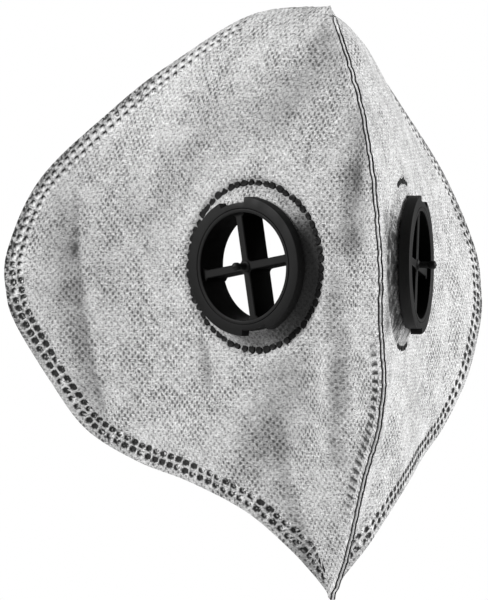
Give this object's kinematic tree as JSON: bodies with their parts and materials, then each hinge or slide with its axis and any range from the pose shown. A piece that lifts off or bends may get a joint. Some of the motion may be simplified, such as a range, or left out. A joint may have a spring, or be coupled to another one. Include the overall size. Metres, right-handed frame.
{
  "type": "valved folding dust mask",
  "caption": "Folding two-panel nonwoven filter mask with a curved centre seam, spot-welded edges and a round bayonet valve port in each half.",
  "frame": {"origin": "middle of the straight line from the nose end to the chin end of the centre seam, where the mask is held on the face", "axes": "+Z from chin to nose, -Y forwards out of the face, +X to the viewer's right for someone facing the mask"},
  "size_m": [0.1278, 0.1017, 0.1499],
  "materials": {
    "outer_nonwoven": "matt grey spunbond nonwoven with a fine point-bond pattern",
    "carbon_cloth": "matt black activated-carbon cloth",
    "melt_blown": "matt white melt-blown filter web",
    "lining_nonwoven": "soft white nonwoven",
    "welded_margin": "grey nonwoven fused by rows of spot welds",
    "black_plastic": "satin black moulded polypropylene"
  },
  "bodies": {
    "seam": {"centre_seam": "welded_margin"},
    "left_half": {"left_outer_cover": "outer_nonwoven", "left_carbon_layer": "carbon_cloth", "left_filter_layer": "melt_blown", "left_lining": "lining_nonwoven", "left_welded_edge": "welded_margin", "left_valve_seat": "black_plastic", "left_valve_cross": "black_plastic", "left_bayonet_ring": "black_plastic"},
    "right_half": {"right_outer_cover": "outer_nonwoven", "right_carbon_layer": "carbon_cloth", "right_filter_layer": "melt_blown", "right_lining": "lining_nonwoven", "right_welded_edge": "welded_margin", "right_valve_seat": "black_plastic", "right_valve_cross": "black_plastic", "right_bayonet_ring": "black_plastic"}
  },
  "joints": [
    {"name": "left_fold", "type": "hinge", "parent": "seam", "child": "left_half", "pos_m": [0, -0.02, 0], "axis": [0, 0, 1], "range_deg": [-8, 12], "deforming": ["left_outer_cover", "left_carbon_layer", "left_filter_layer", "left_lining", "left_welded_edge"]},
    {"name": "right_fold", "type": "hinge", "parent": "seam", "child": "right_half", "pos_m": [0, -0.02, 0], "axis": [0, 0, 1], "range_deg": [-12, 8], "deforming": ["right_outer_cover", "right_carbon_layer", "right_filter_layer", "right_lining", "right_welded_edge"]}
  ],
  "couplings": [
    {"joint": "right_fold", "follows": "left_fold", "ratio": -1}
  ]
}
